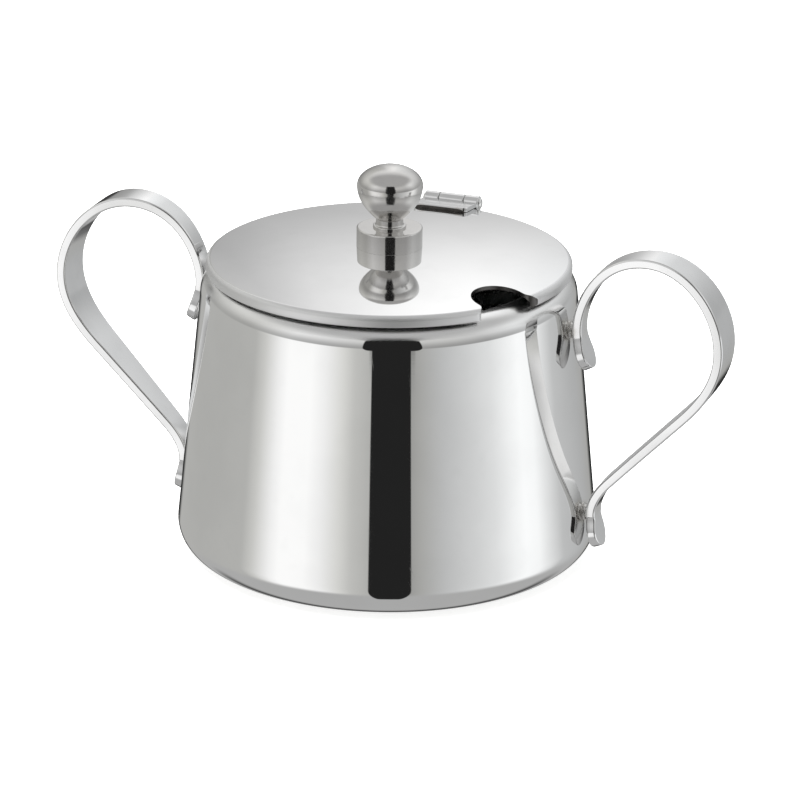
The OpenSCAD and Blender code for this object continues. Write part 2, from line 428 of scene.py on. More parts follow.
@dataclass(frozen=True)
class Floor:
    """Pale matt floor with a faint mottle, lit a little from below so that shadows stay light."""

    name: str = "pale_floor"
    colour: Colour = (0.90, 0.90, 0.895)
    glow: float = 0.72
    roughness: float = 0.7

    def material(self) -> bpy.types.Material:
        """The floor as a material."""
        made = bpy.data.materials.new(self.name)
        graph = Graph(made)
        mottle = graph.noise(graph.place(), 60.0, 3.0)
        tone = graph.mix(mottle * 0.25, self.colour, tuple(c * 0.97 for c in self.colour))
        shader = graph.node("ShaderNodeBsdfPrincipled", inputs={
            "Base Color": tone, "Roughness": self.roughness + mottle * 0.1, "Specular IOR Level": 0.1,
            "Emission Color": tone, "Emission Strength": self.glow})
        graph.node("ShaderNodeOutputMaterial", inputs={"Surface": shader})
        return made


@dataclass(frozen=True)
class Glow:
    """Plain even light for the backdrop."""

    name: str = "white_backdrop"
    strength: float = 1.0

    def material(self) -> bpy.types.Material:
        """The backdrop as a material."""
        made = bpy.data.materials.new(self.name)
        graph = Graph(made)
        shader = graph.node("ShaderNodeEmission", inputs={"Color": (1.0, 1.0, 1.0, 1.0),
                                                          "Strength": self.strength})
        graph.node("ShaderNodeOutputMaterial", inputs={"Surface": shader})
        return made


# ---------------------------------------------------------------- mesh tools


def arc(centre: Point, radius: float, start: float, end: float, steps: int = 20) -> list[Point]:
    """Points on an arc, with one close to each end, which keeps the shading tangent there.

    Args:
        centre: Centre of the arc.
        radius: Radius of the arc.
        start: First angle in degrees.
        end: Last angle in degrees.
        steps: Even steps along the arc.

    Returns:
        The points from start to end.
    """
    guard = 0.15 / steps
    shares = [0.0, guard, *(i / steps for i in range(1, steps)), 1.0 - guard, 1.0]
    angles = [math.radians(start + (end - start) * share) for share in shares]
    return [(centre[0] + radius * math.cos(a), centre[1] + radius * math.sin(a)) for a in angles]


def cubic(p: Point, q: Point, r: Point, s: Point, u: float) -> tuple[Point, Point]:
    """Point and direction on a cubic curve.

    Args:
        p: First end.
        q: Control point by the first end.
        r: Control point by the last end.
        s: Last end.
        u: Share of the way along, from 0 to 1.

    Returns:
        The point, and the unit direction there.
    """
    v = 1.0 - u
    point = tuple(v**3 * a + 3 * v * v * u * b + 3 * v * u * u * c + u**3 * d
                  for a, b, c, d in zip(p, q, r, s))
    rate = tuple(v * v * (b - a) + 2 * v * u * (c - b) + u * u * (d - c)
                 for a, b, c, d in zip(p, q, r, s))
    length = math.hypot(*rate)
    return point, (rate[0] / length, rate[1] / length)


def ease(share: float) -> float:
    """Smooth step of a share that is first held between 0 and 1."""
    held = min(max(share, 0.0), 1.0)
    return held * held * (3.0 - 2.0 * held)


def rounded(radius: float, from_end: float) -> float:
    """How far a rounded corner draws a side in at a distance from the end."""
    return radius - math.sqrt(max(radius**2 - max(radius - from_end, 0.0) ** 2, 0.0))


def finished(name: str, mesh: bmesh.types.BMesh) -> bpy.types.Object:
    """Turn a mesh in millimetres into a smooth-shaded object in metres.

    Args:
        name: Name of the piece.
        mesh: The mesh, which is used up.

    Returns:
        The new object, linked to the scene.
    """
    bmesh.ops.scale(mesh, vec=(MM, MM, MM), verts=mesh.verts)
    bmesh.ops.recalc_face_normals(mesh, faces=mesh.faces)
    data = bpy.data.meshes.new(name)
    mesh.to_mesh(data)
    mesh.free()
    made = bpy.data.objects.new(name, data)
    bpy.context.scene.collection.objects.link(made)
    shade(made)
    return made


def shade(piece: bpy.types.Object) -> None:
    """Shade a piece smoothly, with its real corners kept crisp."""
    piece.data.shade_smooth()
    piece.data.set_sharp_from_angle(angle=SHARP_ANGLE)


def turn(mesh: bmesh.types.BMesh, profile: Sequence[Point], segments: int, axis: Axis = Axis.UP,
         origin: tuple[float, float, float] = (0.0, 0.0, 0.0), closed: bool = True) -> None:
    """Add a turned solid to a mesh.

    Args:
        mesh: Mesh to add to.
        profile: Points as radius and distance along the axis.
        segments: Facets round the axis.
        axis: Axis that the profile turns about.
        origin: Point on the axis from which the distance is measured.
        closed: Whether the last point joins the first.
    """
    def place(radius: float, along: float, angle: float) -> tuple[float, float, float]:
        """Point of the solid from its radius, its distance along the axis and its angle."""
        a, b = radius * math.cos(angle), radius * math.sin(angle)
        if axis is Axis.UP:
            return origin[0] + a, origin[1] + b, origin[2] + along
        return origin[0] + along, origin[1] + a, origin[2] + b

    rings = []
    for radius, along in profile:
        count = 1 if radius < 1e-6 else segments
        rings.append([mesh.verts.new(place(radius, along, math.tau * k / segments)) for k in range(count)])
    pairs = list(zip(rings, rings[1:] + rings[:1]))
    for low, high in pairs if closed else pairs[:-1]:
        for k in range(segments):
            corners = [low[k % len(low)], low[(k + 1) % len(low)],
                       high[(k + 1) % len(high)], high[k % len(high)]]
            corners = list(dict.fromkeys(corners))
            if len(corners) > 2:
                mesh.faces.new(corners)


def turned(name: str, profile: Sequence[Point], segments: int = 256, axis: Axis = Axis.UP,
           origin: tuple[float, float, float] = (0.0, 0.0, 0.0), closed: bool = True) -> bpy.types.Object:
    """One turned piece.

    Args:
        name: Name of the piece.
        profile: Points as radius and distance along the axis.
        segments: Facets round the axis.
        axis: Axis that the profile turns about.
        origin: Point on the axis from which the distance is measured.
        closed: Whether the last point joins the first.

    Returns:
        The piece.
    """
    mesh = bmesh.new()
    turn(mesh, profile, segments, axis, origin, closed)
    return finished(name, mesh)


@dataclass(frozen=True)
class Station:
    """One place along a swept strap: its middle, its two directions and half its sizes."""

    middle: Vector
    across: Vector
    through: Vector
    half_width: float
    half_thick: float


def sweep(mesh: bmesh.types.BMesh, stations: Sequence[Station], corner: float) -> None:
    """Add a strap with rounded edges along its stations, closed at both ends.

    Args:
        mesh: Mesh to add to.
        stations: Places along the strap.
        corner: Radius of the rounding along its four edges.
    """
    rings = []
    for station in stations:
        radius = min(corner, 0.95 * station.half_width, 0.95 * station.half_thick)
        outline = []
        for quarter, (sx, sy) in enumerate(((1, 1), (-1, 1), (-1, -1), (1, -1))):
            centre = (sx * (station.half_width - radius), sy * (station.half_thick - radius))
            outline += arc(centre, radius, 90.0 * quarter, 90.0 * quarter + 90.0, 4)
        rings.append([mesh.verts.new(station.middle + station.across * a + station.through * b)
                      for a, b in outline])
    count = len(rings[0])
    for low, high in zip(rings, rings[1:]):
        for k in range(count):
            mesh.faces.new((low[k], low[(k + 1) % count], high[(k + 1) % count], high[k]))
    mesh.faces.new(rings[0])
    mesh.faces.new(rings[-1])


def block(mesh: bmesh.types.BMesh, low: Sequence[float], high: Sequence[float], corner: float) -> None:
    """Add a block with rounded edges to a mesh.

    Args:
        mesh: Mesh to add to.
        low: Its lowest corner.
        high: Its highest corner.
        corner: Radius of its rounded edges.
    """
    part = bmesh.new()
    bmesh.ops.create_cube(part, size=1.0)
    for vert in part.verts:
        vert.co = Vector([a + (b - a) * (c + 0.5) for a, b, c in zip(low, high, vert.co)])
    bmesh.ops.bevel(part, geom=part.edges[:], offset=corner, segments=4, profile=0.5, affect="EDGES")
    kept = {vert: mesh.verts.new(vert.co) for vert in part.verts}
    for face in part.faces:
        mesh.faces.new([kept[vert] for vert in face.verts])
    part.free()


def cut(piece: bpy.types.Object, cutter: bpy.types.Object) -> None:
    """Cut one closed mesh out of another, and remove the cutter.

    Args:
        piece: Piece that is cut.
        cutter: Mesh that is taken away.
    """
    modifier = piece.modifiers.new("cut", "BOOLEAN")
    modifier.operation = "DIFFERENCE"
    modifier.solver = "EXACT"
    modifier.object = cutter
    bpy.context.view_layer.update()
    evaluated = piece.evaluated_get(bpy.context.evaluated_depsgraph_get())
    result = bpy.data.meshes.new_from_object(evaluated)
    piece.modifiers.clear()
    piece.data = result
    bpy.data.objects.remove(cutter)
    shade(piece)


def dress(piece: bpy.types.Object, finish: bpy.types.Material, body: Body, slot: Slot,
          *nodes: str) -> bpy.types.Object:
    """Give a piece its finish, the body that it moves with and the nodes that it stands for.

    Args:
        piece: The piece.
        finish: Its material.
        body: The body that it rides on.
        slot: The record's material slot that it belongs to; not used.
        nodes: CAD nodes that it replaces.

    Returns:
        The same piece.
    """
    if not piece.data.materials:
        piece.data.materials.append(None)
    piece.data.materials[0] = finish
    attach(piece, body.value)
    if nodes:
        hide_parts(*nodes)
    log.info("%s: %d faces, rides on %s, stands for %s", piece.name, len(piece.data.polygons),
             body.value, ", ".join(nodes) or "no node of its own")
    return piece


def top_of(node: str) -> float:
    """Highest point of a CAD node in millimetres."""
    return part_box(node)[1].z / MM


def bottom_of(node: str) -> float:
    """Lowest point of a CAD node in millimetres."""
    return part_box(node)[0].z / MM


def reach_of(node: str) -> float:
    """Largest X of a CAD node in millimetres."""
    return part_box(node)[1].x / MM


# ---------------------------------------------------------------- bowl


@dataclass
class Bowl:
    """Tapered bowl: the pressed wall with its ledge and rolled lip, and the dished foot."""

    rim_h: float
    base_r: float = 44.17
    rim_r: float = 38.2
    sheet: float = 0.8
    foot_round: float = 6.0
    shoulder: float = 5.0
    mouth_r: float = 31.6
    lip_drop: float = 2.4
    lip_round: float = 1.0
    dish_rise: float = 0.8
    dish_r: float = 31.0
    dish_bend: float = 1.2

    @property
    def slope(self) -> float:
        """Loss of radius for each millimetre of height."""
        return (self.base_r - self.rim_r) / self.rim_h

    @property
    def lean(self) -> float:
        """Angle of the wall from upright in degrees."""
        return math.degrees(math.atan(self.slope))

    @property
    def foot_z(self) -> float:
        """Height at which the foot's rounding meets the wall."""
        return self.foot_round * (1.0 + math.sin(math.radians(self.lean)))

    def wall_r(self, z: float) -> float:
        """Outer radius of the wall at a height."""
        return self.base_r - self.slope * z

    def normal(self) -> Point:
        """Outward direction of the wall, as radial and upward parts."""
        return math.cos(math.radians(self.lean)), math.sin(math.radians(self.lean))

    def wall(self) -> bpy.types.Object:
        """The wall, the ledge and the rolled lip."""
        out, up = self.normal()
        low = (self.wall_r(self.foot_z), self.foot_z)
        shoulder_z = self.rim_h - self.shoulder
        shoulder_c = (self.wall_r(shoulder_z) - self.shoulder / out, shoulder_z)
        lip_c = (self.mouth_r + self.lip_round, self.rim_h - self.lip_round)
        lip_end = self.rim_h - self.lip_drop
        inner_round = self.shoulder - self.sheet
        profile = [low, *arc(shoulder_c, self.shoulder, self.lean, 90.0, 24)]
        profile += arc(lip_c, self.lip_round, 90.0, 180.0, 16)
        profile += arc((self.mouth_r + self.sheet / 2, lip_end), self.sheet / 2, 180.0, 360.0, 12)
        profile += arc(lip_c, self.lip_round - self.sheet, 180.0, 90.0, 6)
        profile += arc(shoulder_c, inner_round, 90.0, self.lean, 16)
        profile.append((low[0] - self.sheet * out, low[1] - self.sheet * up))
        return turned("bowl_wall", profile)

    def foot(self) -> bpy.types.Object:
        """The dished foot, rounded up to meet the wall."""
        out, _ = self.normal()
        centre = (self.wall_r(self.foot_z) - self.foot_round * out, self.foot_round)
        slope_r = self.dish_r + 2.0 * self.dish_rise
        shift = self.sheet / 3.0
        inner = self.foot_round - self.sheet
        rise, bend = self.dish_rise, self.dish_bend
        profile = [(0.0, rise), (self.dish_r - bend, rise), (self.dish_r, 0.9 * rise)]
        profile += [(slope_r - bend / 3.0, 0.15 * rise), (slope_r + bend / 2.0, 0.0)]
        profile += arc(centre, self.foot_round, -90.0, self.lean, 32)
        profile += arc(centre, inner, self.lean, -90.0, 28)
        profile += [(slope_r + shift, self.sheet), (self.dish_r + shift, rise + self.sheet),
                    (0.0, rise + self.sheet)]
        return turned("bowl_foot", profile)


# ---------------------------------------------------------------- handles


@dataclass
class Handle:
    """Bent strap that stands off the wall on two weld bosses, with a rounded tail past each."""

    bowl: Bowl
    reach: float
    top: float
    thick: float = 2.0
    waist_w: float = 4.6
    loop_w: float = 10.2
    tail_w: float = 6.6
    edge: float = 0.38
    boss_h: float = 1.0
    boss_r: float = 1.5
    boss_sunk: float = 0.3
    heat_reach: float = 3.4
    upper_waist_z: float = 51.5
    lower_waist_z: float = 12.5
    upper_tip: Point = (43.6, 43.9)
    lower_tip: Point = (46.5, 5.6)
    crest_x: float = 56.0
    side_z: float = 51.5
    run_top: Point = (63.8, 36.4)
    run_bottom: Point = (48.6, 20.4)

    def waist(self, z: float) -> Point:
        """Middle of the strap where it is welded at a height."""
        return self.bowl.wall_r(z) + self.boss_h + self.thick / 2.0, z

    def route(self) -> list[tuple[Point, Point, Point, Point]]:
        """The strap's middle line as cubic curves, from the upper tip round to the lower tip."""
        upper = self.waist(self.upper_waist_z)
        lower = self.waist(self.lower_waist_z)
        x, z = self.reach - self.thick / 2.0, self.top - self.thick / 2.0
        crest, side = (self.crest_x, z), (x, self.side_z)
        return [
            (self.upper_tip, (42.4, 46.1), (upper[0] + 0.3, 48.8), upper),
            (upper, (upper[0] - 0.6, 57.5), (45.2, z), crest),
            (crest, (64.6, z), (x, 59.8), side),
            (side, (x, 45.6), (68.1, 40.9), self.run_top),
            (self.run_top, (59.7, 32.1), (52.8, 24.9), self.run_bottom),
            (self.run_bottom, (46.6, 18.3), (lower[0] - 0.3, 15.2), lower),
            (lower, (lower[0] + 0.2, 10.2), (45.6, 7.8), self.lower_tip),
        ]

    def samples(self) -> list[tuple[Point, Point]]:
        """Points and directions along the route, closer together towards both tips."""
        steps = 36
        found = []
        last = len(self.route()) - 1
        for index, piece in enumerate(self.route()):
            shares = [i / steps for i in range(steps if index < last else steps + 1)]
            if index == 0:
                shares = [share * share for share in shares]
            elif index == last:
                shares = [1.0 - (1.0 - share) ** 2 for share in shares]
            found += [cubic(*piece, share) for share in shares]
        return found

    def half_width(self, x: float, from_tip: float, tail: float) -> float:
        """Half the strap's width.

        Args:
            x: Distance from the bowl's axis.
            from_tip: Way along the strap from the nearer tip.
            tail: Length of that tail.

        Returns:
            The half-width in millimetres.
        """
        waist, widest, end = self.waist_w / 2.0, self.loop_w / 2.0, self.tail_w / 2.0
        if from_tip < end:
            return math.sqrt(max(end * end - (end - from_tip) ** 2, 0.0004))
        if from_tip < tail:
            return end + (waist - end) * ease((from_tip - end) / (tail - end))
        start = self.waist(self.upper_waist_z)[0]
        share = min(max((x - start) / (self.reach + self.thick / 2.0 - start), 0.0), 1.0)
        return waist + (widest - waist) * share

    def strap(self, side: Side) -> bpy.types.Object:
        """The bent strap.

        Args:
            side: Side of the bowl that it is on.

        Returns:
            The strap, with a rounded end to each tail.
        """
        samples = self.samples()
        travelled = [0.0]
        for (a, _), (b, _) in zip(samples, samples[1:]):
            travelled.append(travelled[-1] + math.dist(a, b))
        steps = len(samples) // len(self.route())
        tails = travelled[steps], travelled[-1] - travelled[-1 - steps]
        stations = []
        for (point, ahead), way in zip(samples, travelled):
            nearer, tail = min((way, tails[0]), (travelled[-1] - way, tails[1]))
            stations.append(Station(
                Vector((side.value * point[0], 0.0, point[1])), Vector((0.0, 1.0, 0.0)),
                Vector((side.value * ahead[1], 0.0, -ahead[0])),
                self.half_width(point[0], nearer, tail), self.thick / 2.0))
        mesh = bmesh.new()
        sweep(mesh, stations, self.edge)
        return finished(f"{side.name.lower()}_strap", mesh)

    def welds(self, side: Side) -> bpy.types.Object:
        """The two bosses between the strap and the wall, each with a fillet of weld at both ends.

        Args:
            side: Side of the bowl that they are on.

        Returns:
            Both bosses as one piece.
        """
        mesh = bmesh.new()
        for z in (self.upper_waist_z, self.lower_waist_z):
            inner = self.bowl.wall_r(z) - self.boss_sunk
            outer = inner + self.boss_h + 2.0 * self.boss_sunk
            middle = (inner + outer) / 2.0
            flare = self.boss_h / 2.0
            throat = (self.boss_r + flare, middle)
            waist = [(r, side.value * along) for r, along in arc(throat, flare, 270.0, 90.0, 12)]
            rim = self.boss_r + flare
            profile = [(0.0, side.value * inner), (rim, side.value * inner), *waist,
                       (rim, side.value * outer), (0.0, side.value * outer)]
            turn(mesh, profile, 64, Axis.ALONG_PIN, (0.0, 0.0, z), closed=False)
        return finished(f"{side.name.lower()}_weld_bosses", mesh)

    def heat(self) -> tuple[Patch, ...]:
        """Heat patches about all four welds."""
        out = self.boss_h / 2.0
        return tuple(Patch((side.value * (self.bowl.wall_r(z) + out), 0.0, z), self.heat_reach)
                     for side in Side for z in (self.upper_waist_z, self.lower_waist_z))


# ---------------------------------------------------------------- lid


@dataclass
class Lid:
    """Domed lid with a turned-down edge and the spoon notch."""

    bottom: float
    crown: float
    radius: float
    sheet: float = 0.8
    edge_h: float = 2.5
    edge_round: float = 1.2
    notch_w: float = 11.5
    notch_inner: float = 28.5
    notch_corner: float = 2.0
    notch_angle: float = -30.5
    notch_past: float = 4.0
    screw_hole: float = 1.6

    @property
    def top(self) -> float:
        """Height of the top of the turned-down edge."""
        return self.bottom + self.edge_h

    @property
    def dome_edge(self) -> float:
        """Radius at which the dome meets the edge's rounding."""
        return self.radius - self.edge_round

    @property
    def dome_r(self) -> float:
        """Radius of the dome's own sphere."""
        rise = self.crown - self.top
        return (self.dome_edge**2 + rise**2) / (2.0 * rise)

    def surface(self, radius: float) -> float:
        """Height of the dome at a distance from the axis."""
        return self.crown - (self.dome_r - math.sqrt(self.dome_r**2 - radius**2))

    def notch_outline(self) -> list[Point]:
        """Outline of the notch with a round inner end and eased corners at the lid's edge."""
        half = self.notch_w / 2.0
        corner_y = half + self.notch_corner
        corner_x = math.sqrt((self.radius - self.notch_corner) ** 2 - corner_y**2)
        open_end = self.radius + self.notch_past
        spread = math.degrees(math.atan2(corner_y, corner_x))
        upper = arc((corner_x, corner_y), self.notch_corner, -90.0, spread, 10)
        far = upper[-1][1] + (open_end - upper[-1][0]) * math.tan(math.radians(spread))
        inner = arc((self.notch_inner + half, 0.0), half, 90.0, 270.0, 48)
        lower = [(x, -y) for x, y in upper]
        return [(open_end, far), *reversed(upper), *inner, *lower, (open_end, -far)]

    def plate(self) -> bpy.types.Object:
        """The lid's plate, whose second material is the bare cut edge of the notch, darkened as painted
        shade.
        """
        steps = 20
        rings = [self.screw_hole + (self.dome_edge - self.screw_hole) * i / steps for i in range(steps + 1)]
        meet = math.degrees(math.acos(self.dome_edge / self.dome_r))
        bead = self.sheet / 2.0
        profile = [(r, self.surface(r)) for r in rings[:-1]]
        profile += arc((self.radius - self.edge_round, self.top - self.edge_round), self.edge_round,
                       meet, 0.0, 20)
        profile += arc((self.radius - bead, self.bottom + bead), bead, 0.0, -180.0, 12)
        profile.append((self.radius - self.sheet, self.top - self.edge_round - bead))
        soffit = [r * (self.dome_edge - bead) / self.dome_edge for r in rings]
        profile += [(r, self.surface(r) - self.sheet) for r in reversed(soffit[1:])]
        profile.append((self.screw_hole, self.surface(self.screw_hole) - self.sheet))
        plate = turned("lid_dome", profile)
        for _ in range(2):
            plate.data.materials.append(None)
        cut(plate, self._notch_cutter())
        return plate

    def _notch_cutter(self) -> bpy.types.Object:
        """Closed prism of the notch's outline, from below the lid to above it.

        Returns:
            The prism, whose second material marks the round end and one straight side: a bare cut edge,
            darkened as painted shade.
        """
        mesh = bmesh.new()
        past = 2.0
        turned_by = math.radians(self.notch_angle)
        cos, sin = math.cos(turned_by), math.sin(turned_by)
        outline = self.notch_outline()
        rings = [[mesh.verts.new((x * cos - y * sin, x * sin + y * cos, z)) for x, y in outline]
                 for z in (self.bottom - past, self.crown + past)]
        count = len(outline)
        round_end = self.notch_inner + self.notch_w / 2.0
        for k, (x, y) in enumerate(outline):
            after = (k + 1) % count
            face = mesh.faces.new((rings[0][k], rings[0][after], rings[1][after], rings[1][k]))
            # The round end and one straight side take the near-black edge finish, which is painted shade
            face.material_index = int(y > 0.0 or x < round_end)
        for ring in rings:
            mesh.faces.new(ring)
        return finished("notch_cutter", mesh)


# ---------------------------------------------------------------- knob


@dataclass
class Knob:
    """Collar and ball, held through the lid by a washer and a slotted screw."""

    lid: Lid
    top: float
    collar_top: float
    washer_bottom: float
    ball_r: float = 6.75
    crown_h: float = 4.2
    taper: float = 7.0
    neck_r: float = 2.8
    neck_h: float = 1.8
    collar_r: float = 6.75
    bevel: float = 0.35
    soft: float = 0.1
    ring: float = 0.6
    ring_h: float = 0.5
    washer_r: float = 3.4
    washer_t: float = 0.5
    screw_r: float = 1.5
    screw_grip: float = 5.0
    screw_clear: float = 0.1
    head_r: float = 2.7
    head_h: float = 1.6
    slot_w: float = 0.6
    slot_d: float = 0.7

    def collar(self) -> bpy.types.Object:
        """The collar under the ball."""
        foot = self.lid.surface(self.collar_r) - 1.5 * SEAT
        hole = self.screw_r + self.screw_clear
        profile = [(hole, foot), (self.collar_r - self.soft, foot)]
        profile += arc((self.collar_r - self.soft, foot + self.soft), self.soft, -90.0, 0.0, 4)
        bevel = self.bevel
        profile += arc((self.collar_r - bevel, self.collar_top - bevel), bevel, 0.0, 90.0, 10)
        profile.append((hole, self.collar_top))
        return turned("collar", profile, 192)

    def ball(self) -> bpy.types.Object:
        """The ball with its neck."""
        centre_z = self.top - self.crown_h
        neck_top = self.collar_top + self.neck_h
        ring_r = self.neck_r + self.ring
        fillet_r, rim_r = 0.3, 0.2
        tap_top = self.collar_top + self.screw_grip
        crown = [(self.ball_r * math.sin(a), centre_z + self.crown_h * math.cos(a))
                 for a in (math.pi / 2.0 * i / 40 for i in range(41))]
        under = [cubic((self.ball_r, centre_z), (self.ball_r, centre_z - 0.45 * self.taper),
                       (0.65 * self.ball_r, centre_z - 0.8 * self.taper), (self.neck_r, neck_top), i / 40)[0]
                 for i in range(1, 41)]
        ring_top = self.collar_top + self.ring_h
        fillet = arc((self.neck_r + fillet_r, ring_top + fillet_r), fillet_r, 180.0, 270.0, 6)
        rim = arc((ring_r - rim_r, ring_top - rim_r), rim_r, 90.0, 0.0, 5)
        tap = [(self.screw_r, self.collar_top), (self.screw_r, tap_top), (0.0, tap_top)]
        profile = [*crown, *under, *fillet, *rim, (ring_r, self.collar_top), *tap]
        return turned("ball", profile, 192, closed=False)

    def washer(self) -> bpy.types.Object:
        """The washer under the crown of the lid."""
        low, high = self.washer_bottom, self.washer_bottom + self.washer_t
        hole, soft = self.screw_r + self.screw_clear, 0.12
        profile = [(hole, low), *arc((self.washer_r - soft, low + soft), soft, -90.0, 0.0, 5),
                   *arc((self.washer_r - soft, high - soft), soft, 0.0, 90.0, 5), (hole, high)]
        return turned("washer", profile, 96)

    def screw(self) -> bpy.types.Object:
        """The slotted screw, with its head under the washer."""
        low, tip = self.washer_bottom - self.head_h, self.collar_top + self.screw_grip
        soft, bevel = 0.4, 0.2
        profile = [(0.0, low), *arc((self.head_r - soft, low + soft), soft, -90.0, 0.0, 8),
                   (self.head_r, self.washer_bottom), (self.screw_r, self.washer_bottom),
                   (self.screw_r, tip - bevel), (0.0, tip)]
        screw = turned("screw", profile, 96, closed=False)
        slot = bmesh.new()
        half, past = self.slot_w / 2.0, 2.0 * self.head_r
        block(slot, (-past, -half, low - 1.0), (past, half, low + self.slot_d), 0.08)
        cut(screw, finished("slot_cutter", slot))
        return screw


# ---------------------------------------------------------------- hinge


@dataclass
class Hinge:
    """Pinned hinge at the back: a leaf on the bowl, a leaf on the lid and a riveted pin."""

    bowl: Bowl
    lid: Lid
    pin_y: float
    pin_z: float
    pin_r: float = 0.8
    knuckle_r: float = 1.6
    barrel: float = 12.0
    lid_knuckle: float = 5.4
    gap: float = 0.15
    running: float = 0.05
    leaf_w: float = 12.0
    leaf_t: float = 1.0
    leaf_len: float = 8.6
    leaf_edge: float = 0.25
    leaf_corner: float = 1.4
    body_leaf_low: float = 10.0
    web_in: float = 0.9
    web_sunk: float = 2.0
    rivet_r: float = 1.15
    rivet_h: float = 0.6
    soft: float = 0.22
    bead: float = 0.42

    @property
    def front(self) -> float:
        """Distance of the lid leaf's front from the bowl's axis."""
        return self.pin_y - self.leaf_len

    @property
    def body_knuckle(self) -> float:
        """Length of each outer knuckle."""
        return (self.barrel - self.lid_knuckle) / 2.0 - self.gap

    def knuckle(self, mesh: bmesh.types.BMesh, middle_x: float, length: float, bore: float) -> None:
        """Add one knuckle with eased ends.

        Args:
            mesh: Mesh to add to.
            middle_x: Place of its middle along the pin.
            length: Its length.
            bore: Radius of its bore.
        """
        half, soft, r = length / 2.0, self.soft, self.knuckle_r
        profile = [(bore, -half), *arc((r - soft, soft - half), soft, -90.0, 0.0, 5),
                   *arc((r - soft, half - soft), soft, 0.0, 90.0, 5), (bore, half)]
        turn(mesh, profile, 96, Axis.ALONG_PIN, (middle_x, self.pin_y, self.pin_z))

    def body_leaf(self) -> bpy.types.Object:
        """The leaf on the back of the bowl, with its two webs and knuckles."""
        low, high = self.bowl.rim_h - self.body_leaf_low, self.bowl.rim_h - self.bowl.shoulder
        out, up = self.bowl.normal()
        middle_z = (low + high) / 2.0
        radius = self.bowl.wall_r(middle_z) + self.leaf_t / 2.0 - SEAT
        half_h = (high - low) / 2.0 - self.running
        stations = []
        steps = 48
        for index in range(steps + 1):
            x = -math.cos(math.pi * index / steps) * self.leaf_w / 2.0
            angle = math.asin(x / radius)
            from_end = self.leaf_w / 2.0 - abs(x)
            lost = rounded(self.leaf_corner, from_end)
            sin, cos = math.sin(angle), math.cos(angle)
            stations.append(Station(
                Vector((radius * sin, radius * cos, middle_z)), Vector((-up * sin, -up * cos, out)),
                Vector((out * sin, out * cos, up)), half_h - lost, self.leaf_t / 2.0))
        mesh = bmesh.new()
        sweep(mesh, stations, self.leaf_edge)
        web_top = self.pin_z - 0.75 * self.knuckle_r
        for side in Side:
            middle = side.value * (self.barrel - self.body_knuckle) / 2.0
            half = self.body_knuckle / 2.0
            self.knuckle(mesh, middle, self.body_knuckle, self.pin_r)
            block(mesh, (middle - half, self.pin_y - self.web_in, high - self.web_sunk),
                  (middle + half, self.pin_y + self.leaf_t, web_top), 0.15)
        return finished("bowl_hinge_leaf", mesh)

    def lid_leaf(self) -> bpy.types.Object:
        """The leaf on the slope of the lid, with its neck and middle knuckle."""
        lid, back = self.lid, self.pin_y - self.knuckle_r - self.gap
        slope = math.asin((self.front + lid.dome_edge) / 2.0 / lid.dome_r)
        back_top = lid.surface(lid.dome_edge) - (back - lid.dome_edge) * math.tan(slope) + self.leaf_t
        normal = Vector((0.0, math.sin(slope), math.cos(slope)))
        ahead = Vector((0.0, -math.cos(slope), math.sin(slope)))
        start = Vector((0.0, back, back_top)) - normal * (self.leaf_t / 2.0)
        length = (back - self.front) / math.cos(slope)
        steps = 60
        stations = []
        for index in range(steps + 1):
            way = length * (1.0 - math.cos(math.pi * index / steps)) / 2.0
            end = min(way, length - way)
            stations.append(Station(
                start + ahead * way, Vector((1.0, 0.0, 0.0)), normal,
                self.leaf_w / 2.0 - rounded(1.0 if way > length / 2.0 else 0.3, end),
                self.leaf_t / 2.0 - rounded(self.leaf_edge, end)))
        mesh = bmesh.new()
        sweep(mesh, stations, self.leaf_edge)
        half, soft = self.lid_knuckle / 2.0, 0.1
        neck_end, neck_top = self.pin_y - self.pin_r - soft, back_top - SEAT
        block(mesh, (-half, back - 0.6, back_top - 0.9), (half, neck_end, neck_top), soft)
        self.knuckle(mesh, 0.0, self.lid_knuckle, self.pin_r + self.running)
        return finished("lid_hinge_leaf", mesh)

    def braze_and_painted_shade(self) -> bpy.types.Object:
        """The dark bead of braze along the front of the lid leaf, which thins at both ends; its near-black
        colour is also painted shade of the crevice there.
        """
        half, out, steps = self.leaf_w / 2.0 - 0.4, 0.05, 24
        stations = []
        for index in range(steps + 1):
            share = 2.0 * index / steps - 1.0
            x, y = half * share, self.front - out
            size = self.bead * math.sqrt(max(1.0 - share**8, 0.02))
            stations.append(Station(Vector((x, y, self.lid.surface(math.hypot(x, y)) + size * 0.55)),
                                    Vector((0.0, 1.0, 0.0)), Vector((0.0, 0.0, 1.0)), size, size))
        mesh = bmesh.new()
        sweep(mesh, stations, self.bead)
        return finished("braze_bead_painted_shade", mesh)

    def pin(self) -> bpy.types.Object:
        """The pin with its two domed rivet ends."""
        half, r, dome = self.barrel / 2.0, self.rivet_r, self.rivet_h
        steps, flat = 10, 0.05
        cap = [(r * math.cos(a), half + flat + (dome - flat) * math.sin(a))
               for a in (math.pi / 2.0 * i / steps for i in range(steps + 1))]
        far = [(r, half), *cap]
        near = [(a, -b) for a, b in reversed(far)]
        profile = [*near, (self.pin_r, -half), (self.pin_r, half), *far]
        return turned("pin", profile, 96, Axis.ALONG_PIN, (0.0, self.pin_y, self.pin_z), closed=False)

    def heat(self) -> tuple[Patch, ...]:
        """Heat patches along the brazed front of the lid leaf and the foot of the bowl leaf."""
        brazed, aside = self.lid.surface(self.front), self.leaf_w / 3.0
        low = self.bowl.rim_h - self.body_leaf_low
        foot = Patch((0.0, self.bowl.wall_r(low) + self.leaf_t / 2.0, low), 2.4)
        return foot, *(Patch((side.value * aside, self.front, brazed), 1.2) for side in Side)


# ---------------------------------------------------------------- studio


@dataclass(frozen=True)
class Tone:
    """Brightness of the studio in one direction, in degrees from the camera's own towards its right."""

    angle: float
    level: float
    colour: Colour = (1.0, 1.0, 1.0)


